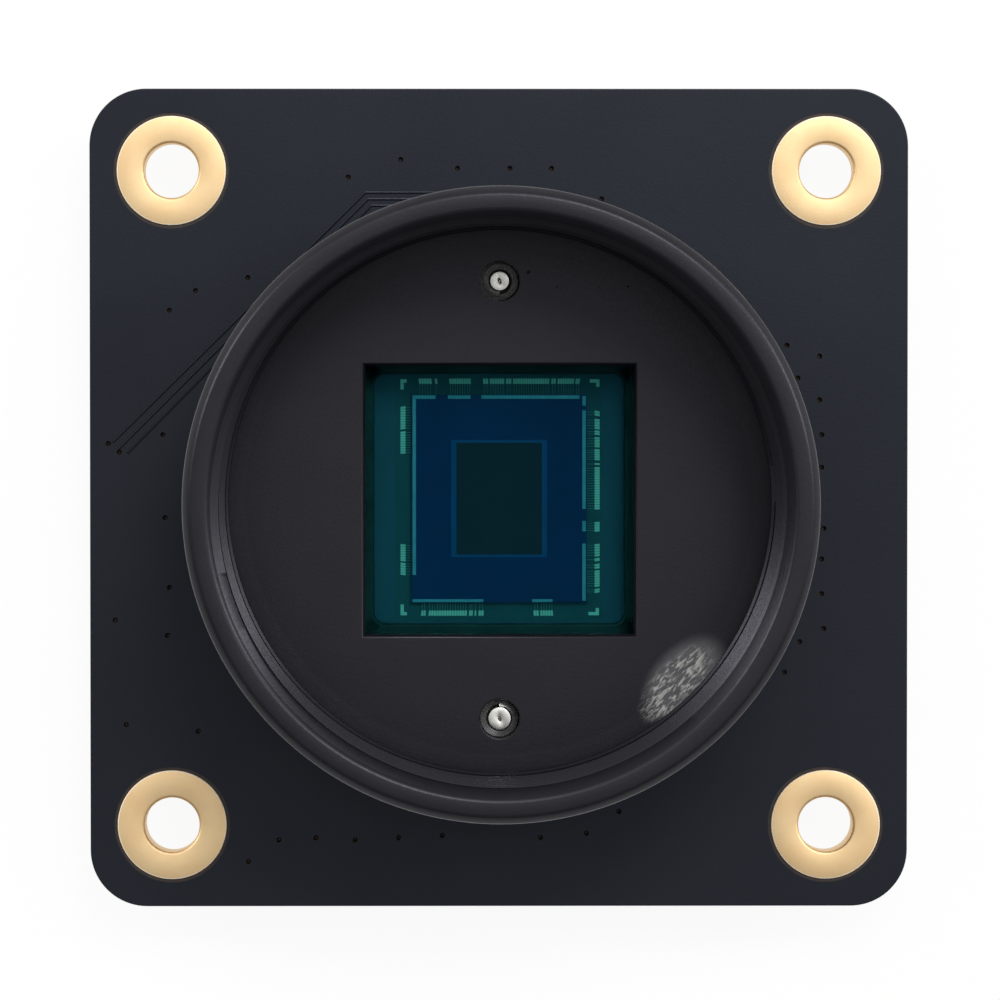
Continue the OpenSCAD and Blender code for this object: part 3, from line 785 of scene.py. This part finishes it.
# Bond fingers on the package, as runs along each side of the chip
FINGERS = {
    "top": (5.24, 5.48, [(-3.68, -3.08), (-2.94, -2.82), (-2.28, -1.29), (-0.74, -0.49),
                         (-0.43, 0.24), (0.31, 0.57), (0.63, 2.30), (2.38, 2.60),
                         (2.67, 3.43), (3.49, 3.69)]),
    "bottom": (-5.37, -5.13, [(-3.57, -3.35), (-3.23, -1.47), (-1.38, -1.20),
                              (-1.13, -1.04), (-0.95, -0.70), (1.57, 1.82),
                              (1.87, 2.47)]),
    "left": (-4.51, -4.28, [(3.16, 4.21), (2.04, 3.07), (-2.88, -2.09),
                            (-3.51, -2.94)]),
    "right": (4.37, 4.60, [(3.77, 4.01), (3.16, 3.64), (2.90, 3.11), (2.33, 2.81),
                           (1.74, 2.26), (1.53, 1.62), (-0.51, 1.44), (-1.52, -1.07),
                           (-2.66, -2.08), (-2.88, -2.72), (-3.22, -2.99),
                           (-4.05, -3.29), (-4.32, -4.13)]),
}

# Pad rows along the chip's edges: low corner and high corner
CHIP_PADS = [((-3.96, 4.56), (-2.91, 4.72)), ((-2.34, 4.56), (-1.31, 4.72)),
             ((-0.81, 4.56), (3.67, 4.72)), ((-3.96, -3.49), (-3.8, 4.60)),
             ((3.8, 4.25), (3.96, 4.69)), ((3.8, -0.47), (3.96, 4.03)),
             ((3.8, -1.50), (3.96, -1.02)), ((3.8, -4.67), (3.96, -2.06)),
             ((-3.96, -4.73), (-0.72, -4.6)), ((1.51, -4.73), (2.44, -4.6))]


class ImageSensor(bpy.types.Operator):
    """Dresses the image sensor and adds its bond fingers, pads and wires."""
    bl_idname = "camera_module.image_sensor"
    bl_label = "Image sensor"
    # how far the fingers on each side fan out, in radians a millimetre
    fan = {"top": -0.05, "bottom": 0.05, "left": 0.05, "right": -0.05}
    border = (0.24, 0.13)
    wire_root = 0.02

    def execute(self, context):
        s = context.scene.sensor_settings
        # Green mask on the package's resin board: even, with a slight gloss
        dress("sensor_base", surface("package_green_mask", s.package, "#234744", 5.0,
              0.42, 0.05, 0.1, 2.0))
        # Dispensed epoxy dam: almost black, with a soft wet sheen
        dress("sensor_dam", surface("epoxy_dam", "#383f2f", "#2c3226", 1.5, 0.5, 0.08,
              0.2, 6.0, Specular_IOR_Level=0.15), 0.12, 3)
        # Passivated silicon: deep blue from the coating's interference
        dress("sensor_die", surface("passivated_silicon", s.silicon, "#0f3554", 2.0,
              0.3, 0.03, 0.05, 0.5, Specular_IOR_Level=0.15))
        # Dark light-sensitive field under its colour filters
        dress("pixel_array", surface("pixel_field", "#3b3634", "#363433", 1.0, 0.3,
              0.03, 0.03, 0.4, Specular_IOR_Level=0.1))
        gold = surface("bond_gold", "#cfd8a0", "#dbe0ae", 0.5, 0.4, 0.05, 0.05, 1.0,
                       Metallic=0.3)
        pads = surface("aluminium_pads", "#7ca595", "#6f9a8e", 0.4, 0.35, 0.06, 0.05,
                       1.0, Metallic=0.3)
        # A darker, greener rectangle laid on the package's mask round the chip, out past
        # the fingers
        field = surface("darker_green_patch", "#124536", "#164a3c", 1.5, 0.42, 0.05, 0.1,
                        2.0)
        bm = bmesh.new()
        add_block(bm, (-4.75, -5.62, BASE_HIGH.z - 0.01), (4.75, 5.62,
                                                          BASE_HIGH.z + 0.004))
        finish(piece_from("darker_green_field", bm, field), "gilded_copper")
        self.fingers(s, gold)
        self.chip_marks(pads)
        self.wires(s, gold)
        return {"FINISHED"}

    def dashes(self, s):
        """Each finger's (x, y) centre and the way it points."""
        for side, (low, high, runs) in FINGERS.items():
            for start, end in runs:
                count = max(1, round((end - start) / s.finger_pitch))
                for i in range(count):
                    along = start + (i + 0.5) * (end - start) / count
                    across = (low + high) / 2
                    centre = ((along, across) if side in ("top", "bottom")
                              else (across, along))
                    yield side, centre, (end - start) / count

    def fingers(self, s, gold):
        """Short gilded strips and the four corner marks."""
        bm = bmesh.new()
        top = BASE_HIGH.z
        for side, (x, y), pitch in self.dashes(s):
            along, wide, tall = (x, pitch * 0.43, 0.12) if side in ("top", "bottom") \
                else (y, 0.115, pitch * 0.43)
            made = add_block(bm, (x - wide, y - tall, top - 0.01),
                             (x + wide, y + tall, top + 0.015))
            bmesh.ops.rotate(bm, verts=made, cent=(x, y, top),
                             matrix=Matrix.Rotation(self.fan[side] * along, 3, "Z"))
        for x, y, across, along in ((-4.51, 5.45, 0.28, 0.47), (4.59, 5.45, 0.44, 0.34),
                                    (-4.51, -5.35, 0.29, 0.5),
                                    (4.57, -5.35, 0.48, 0.33)):
            dx, dy = -math.copysign(1, x), -math.copysign(1, y)
            for wide, near, high in ((across, 0, 0.15), (0.15, 0.15, along)):
                a, b = Vector((x, y + dy * near)), Vector((x + dx * wide, y + dy * high))
                add_block(bm, (min(a.x, b.x), min(a.y, b.y), top - 0.01),
                          (max(a.x, b.x), max(a.y, b.y), top + 0.012))
        finish(piece_from("bond_fingers", bm, gold), "gilded_copper")

    def chip_marks(self, pads):
        """Rows of pads on the chip and the line round its light-sensitive field."""
        top = DIE_HIGH.z
        bm = bmesh.new()
        for low, high in CHIP_PADS:
            add_block(bm, (*low, top - 0.01), (*high, top + 0.006))
        finish(piece_from("chip_pads", bm, pads), "silicon")
        low, high = extent("pixel_array")
        wide, tall = self.border
        line = bmesh.new()
        for left, near, right, far in (
                (low.x - wide, low.y - tall, low.x, high.y + tall),
                (high.x, low.y - tall, high.x + wide, high.y + tall),
                (low.x, low.y - tall, high.x, low.y),
                (low.x, high.y, high.x, high.y + tall)):
            add_block(line, (left, near, top - 0.01), (right, far, top + 0.006))
        # Metal ring round the field: a paler blue than the chip
        ring = surface("field_border", "#12506b", "#115070", 1.0, 0.3, 0.03, 0.05, 0.5,
                       Specular_IOR_Level=0.2)
        finish(piece_from("field_border", line, ring), "silicon")

    def wires(self, s, gold):
        """Fine arched wires from the chip's pads out to the fingers."""
        bm = bmesh.new()
        root = BASE_HIGH.z + self.wire_root
        for side, (x, y), _ in self.dashes(s):
            flat = side in ("top", "bottom")
            inner = Vector((x, math.copysign(DIE_HIGH.y - 0.1, y))) if flat else \
                Vector((math.copysign(DIE_HIGH.x - 0.1, x), y))
            outer = Vector((x, y))
            middle = (outer + inner) / 2
            axis = Vector((1, 0, 0)) if flat else Vector((0, 1, 0))
            way = (outer - inner).normalized()
            ring = bmesh.ops.create_circle(bm, cap_ends=True, radius=s.wire,
                                           segments=4)["verts"]
            bmesh.ops.translate(bm, verts=ring, vec=(*inner, root))
            turn = axis if axis.cross(Vector((*-way, 0))).z > 0 else -axis
            cap = ring[0].link_faces[0]
            bmesh.ops.spin(bm, geom=ring + [cap] + list(cap.edges),
                           cent=(*middle, root), axis=turn, angle=math.pi, steps=8,
                           use_merge=False)
        bmesh.ops.scale(bm, vec=(1, 1, 0.75), verts=bm.verts,
                        space=Matrix.Translation((0, 0, -BASE_HIGH.z)))
        finish(piece_from("bond_wires", merged(bm), gold), "gilded_copper", angle=180)


class Glass(bpy.types.Operator):
    """Makes the filter and the sensor's cover see-through."""
    bl_idname = "camera_module.glass"
    bl_label = "Filter and cover glass"

    def execute(self, context):
        s = context.scene.sensor_settings
        # Blue-green absorbing glass with a coating: takes the red out of what is below
        dress("ir_cut_filter", tinted_glass("infrared_filter_glass", s.tint, 1.03))
        # Clear borosilicate cover: only a slight sheen
        dress("sensor_cover_glass", tinted_glass("borosilicate_cover",
                                                 linear("#fbfdfd"), 1.03))
        return {"FINISHED"}


class CableSocket(bpy.types.Operator):
    """Dresses the flat-cable socket with its latch, contacts and tabs."""
    bl_idname = "camera_module.cable_socket"
    bl_label = "Cable socket"

    def execute(self, context):
        # Ivory liquid-crystal polymer: matt, with faint flow lines from the mould
        dress("socket_housing", surface("ivory_polymer", "#d9d1bb", "#d0c7af", 2.0,
              0.5, 0.06, 0.12, 5.0), 0.05)
        # Dark brown nylon latch: a little glossier where fingers rub it
        dress("socket_latch", surface("brown_nylon", "#2a2320", "#332b27", 1.5, 0.42,
              0.08, 0.1, 4.0), 0.05)
        # Gilded bronze springs: bright, with a rolled grain
        dress("socket_contacts", surface("gilded_bronze", "#d8b070", "#c79d5c", 0.6,
              0.28, 0.05, 0.05, 1.0, Metallic=1.0), 0.02)
        silver = tin()
        for side in (1, 2):
            dress(f"socket_tab_{side}", silver, 0.03)
        return {"FINISHED"}


class RearChips(bpy.types.Operator):
    """Dresses the chips on the rear and adds their solder joints."""
    bl_idname = "camera_module.rear_chips"
    bl_label = "Rear chips"

    def execute(self, context):
        # Black moulding compound: dull, with a fine mould texture
        resin = surface("moulding_compound", "#1b1b1d", "#232325", 0.8, 0.62, 0.07,
                        0.05, 7.0, Specular_IOR_Level=0.4)
        # Fired ceramic: brown-grey and slightly grainy
        ceramic = surface("fired_ceramic", "#7a6a55", "#6b5c49", 0.5, 0.5, 0.08, 0.06,
                          4.0)
        # Oscillator's ceramic and its bright nickel lid
        oscillator = surface("oscillator_ceramic", "#4b4640", "#403c37", 0.6, 0.5, 0.06,
                             0.06, 3.0)
        lid = surface("nickel_lid", "#c9c5b8", "#bdb9ad", 0.8, 0.25, 0.06, 0.05, 1.5,
                      Metallic=1.0)
        # Pressed ferrite: dark grey, sooty
        ferrite = surface("pressed_ferrite", "#2d2c2e", "#38363a", 0.4, 0.6, 0.08, 0.05,
                          5.0)
        # Glass glaze over the resistors' film: black and glossy
        glaze = surface("resistor_glaze", "#151517", "#1d1d20", 0.5, 0.24, 0.05, 0.08,
                        2.0)
        silver = tin()
        kinds = {"regulator_": (resin, 0.03), "memory_chip": (resin, 0.04),
                 "oscillator_base": (oscillator, 0.04), "oscillator_lid": (lid, 0.04),
                 "capacitor_": (ceramic, 0.06), "ferrite_bead_": (ferrite, 0.06),
                 "resistor_": (glaze, 0.02)}
        for node in sorted(frame["nodes"]):
            if node.endswith(("_leads", "_terminals")):
                dress(node, silver, 0.025)
                continue
            for start, (material, rounding) in kinds.items():
                if node.startswith(start):
                    dress(node, material, rounding)
        self.joints(silver)
        return {"FINISHED"}

    def joints(self, silver):
        """A low solder fillet under each lead and terminal."""
        bm = bmesh.new()
        for node, height, spread in (("regulator_leads", 0.16, 0.12),
                                     ("memory_leads", 0.16, 0.12),
                                     ("capacitor_terminals", 0.4, 0.22),
                                     ("bead_terminals", 0.35, 0.22),
                                     ("resistor_terminals", 0.2, 0.16),
                                     ("socket_contacts", 0.14, 0.1)):
            for low, high in solids_of(node):
                if node == "socket_contacts":
                    low, high = Vector((low.x, high.y - 0.8, 0)), Vector((*high.xy, 0))
                low = Vector((low.x - spread, low.y - spread, REAR - height))
                high = Vector((high.x + spread, high.y + spread, REAR + 0.01))
                made = add_block(bm, low, high)
                lower = [v for v in made if v.co.z < REAR - 0.02]
                centre = sum((v.co for v in lower), Vector()) / 4
                bmesh.ops.scale(bm, vec=(0.6, 0.6, 1), verts=lower,
                                space=Matrix.Translation(-centre))
        joints = piece_from("solder_joints", bm, silver)
        soften(joints, 0.05, 2, lambda p: p.z < REAR - 0.02)
        finish(joints, "tinned_metal")


class Stage(bpy.types.Operator):
    """Makes the pale floor, the soft lamps, the sky and the camera."""
    bl_idname = "camera_module.stage"
    bl_label = "Stage"
    floor_half = 2500

    def execute(self, context):
        s = context.scene.stage_settings
        self.floor()
        self.sky(context.scene, s)
        # name, place in mm, width in mm, power in watts
        for name, place, width, power in (
                ("lamp_right", (330, 130, 190), 150, 0.5 * s.lamps),
                ("lamp_left", (-310, 150, 190), 140, 0.5 * s.lamps),
                ("lamp_overhead", (90, 220, 430), 160, 0.75 * s.lamps)):
            lamp = bpy.data.lights.new(name, "AREA")
            lamp.shape = "DISK"
            lamp.size = width * MM
            lamp.energy = power
            self.aim(context.scene, name, lamp, Vector(place) * MM,
                     Vector((0, 0, 8)) * MM)
        camera = bpy.data.cameras.new("camera")
        camera.lens = s.lens
        camera.clip_start, camera.clip_end = 0.005, 20.0
        place = Vector((s.sideways, s.upwards, FRONT + s.distance))
        target = Vector((0.046, -0.087, FRONT))
        context.scene.camera = self.aim(context.scene, "camera", camera, place * MM,
                                        target * MM)
        context.scene.view_settings.view_transform = "Standard"
        return {"FINISHED"}

    def aim(self, scene, name, data, place, target):
        """Puts a lamp or camera at a place and turns it to its target."""
        thing = bpy.data.objects.new(name, data)
        scene.collection.objects.link(thing)
        back = (place - target).normalized()
        side = Vector((0, 1, 0)).cross(back).normalized()
        turn = Matrix((side, back.cross(side), back)).transposed()
        thing.matrix_world = Matrix.Translation(place) @ turn.to_4x4()
        thing.visible_camera = False
        return thing

    def floor(self):
        """White paper, lit through so that it shows white but keeps a soft shadow."""
        material, tree = blank("white_paper")
        path = add_node(tree, "ShaderNodeLightPath")
        grain = add_node(tree, "ShaderNodeTexNoise", {"Scale": 900.0, "Detail": 3.0},
                         {"Vector": add_node(tree, "ShaderNodeTexCoord")
                          .outputs["Object"]})
        tone = add_node(tree, "ShaderNodeMix", {"data_type": "RGBA", 6: "#f4f4f4",
                        7: "#fafafa"}, {0: grain.outputs["Fac"]})
        paper = add_node(tree, "ShaderNodeBsdfDiffuse", {}, {"Color": tone.outputs[2]})
        glow = add_node(tree, "ShaderNodeEmission", {"Color": "#ffffff",
                        "Strength": 1.0})
        seen = add_node(tree, "ShaderNodeMath", {"operation": "MAXIMUM"},
                        {0: path.outputs["Is Camera Ray"],
                         1: path.outputs["Is Glossy Ray"]})
        seen = add_node(tree, "ShaderNodeMath", {"operation": "MAXIMUM"},
                        {0: seen.outputs[0], 1: path.outputs["Is Transmission Ray"]})
        share = add_node(tree, "ShaderNodeMath", {"operation": "MULTIPLY", 1: 0.92},
                         {0: seen.outputs[0]})
        lit = add_node(tree, "ShaderNodeMixShader", {}, {0: share.outputs[0],
                       1: paper.outputs[0], 2: glow.outputs[0]})
        clear = add_node(tree, "ShaderNodeBsdfTransparent")
        under = add_node(tree, "ShaderNodeNewGeometry")
        face = add_node(tree, "ShaderNodeMixShader", {}, {
            0: under.outputs["Backfacing"], 1: lit.outputs[0], 2: clear.outputs[0]})
        add_node(tree, "ShaderNodeOutputMaterial", {}, {"Surface": face.outputs[0]})
        bm = bmesh.new()
        bmesh.ops.create_grid(bm, x_segments=1, y_segments=1, size=self.floor_half,
                              matrix=Matrix.Translation((0, 0, cad_box[0].z / MM)))
        floor = piece_from("floor", bm, material)
        floor.data.transform(Matrix.Scale(MM, 4))

    def sky(self, scene, s):
        """A pale dome, brightest overhead, that shows white behind the object."""
        world = bpy.data.worlds.new("studio")
        world.use_nodes = True
        tree = world.node_tree
        tree.nodes.clear()
        path = add_node(tree, "ShaderNodeLightPath")
        way = add_node(tree, "ShaderNodeTexCoord").outputs["Generated"]
        tilt = add_node(tree, "ShaderNodeVectorMath", {"operation": "DOT_PRODUCT",
                        1: (0.35, 0.94, 0)}, {0: way})
        side = add_node(tree, "ShaderNodeMapRange", {
            "From Min": -0.35, "From Max": 0.35, "To Min": 0.3 * s.sky, "To Max": s.sky,
            "interpolation_type": "SMOOTHSTEP"}, {"Value": tilt.outputs["Value"]})
        rise = add_node(tree, "ShaderNodeSeparateXYZ", {}, {0: way})
        height = add_node(tree, "ShaderNodeMapRange", {
            "From Min": -0.05, "From Max": 0.75, "To Min": 0.35,
            "interpolation_type": "SMOOTHSTEP"}, {"Value": rise.outputs[2]})
        dome = add_node(tree, "ShaderNodeMath", {"operation": "MULTIPLY"},
                        {0: side.outputs[0], 1: height.outputs[0]})
        seen = add_node(tree, "ShaderNodeMath", {"operation": "MAXIMUM"},
                        {0: dome.outputs[0], 1: path.outputs["Is Camera Ray"]})
        dome = add_node(tree, "ShaderNodeBackground", {"Color": "#ffffff"},
                        {"Strength": seen.outputs[0]})
        add_node(tree, "ShaderNodeOutputWorld", {}, {"Surface": dome.outputs[0]})
        scene.world = world


PIECES = (CircuitBoard, PlatedHoles, LensMount, MountScrews, ImageSensor, Glass,
          CableSocket, RearChips, Stage)
GROUPS = {"board_settings": BoardSettings, "mount_settings": MountSettings,
          "sensor_settings": SensorSettings, "stage_settings": StageSettings}


class CameraModulePanel(bpy.types.Panel):
    """Lists the pieces of the camera module and their settings."""
    bl_idname = "VIEW3D_PT_camera_module"
    bl_label = "Camera module"
    bl_space_type = "VIEW_3D"
    bl_region_type = "UI"
    bl_category = "Camera module"

    def draw(self, context):
        for name, group in GROUPS.items():
            box = self.layout.box()
            for field in group.__annotations__:
                box.prop(getattr(context.scene, name), field)
        for piece in PIECES:
            self.layout.operator(piece.bl_idname)


CLASSES = (*GROUPS.values(), *PIECES, CameraModulePanel)


def register():
    for each in CLASSES:
        bpy.utils.register_class(each)
    for name, group in GROUPS.items():
        setattr(bpy.types.Scene, name, PointerProperty(type=group))


def unregister():
    for name in GROUPS:
        delattr(bpy.types.Scene, name)
    for each in reversed(CLASSES):
        bpy.utils.unregister_class(each)


def main():
    """Makes every piece in order."""
    register()
    for piece in PIECES:
        getattr(bpy.ops.camera_module, piece.bl_idname.split(".")[1])()


if __name__ == "__main__":
    main()
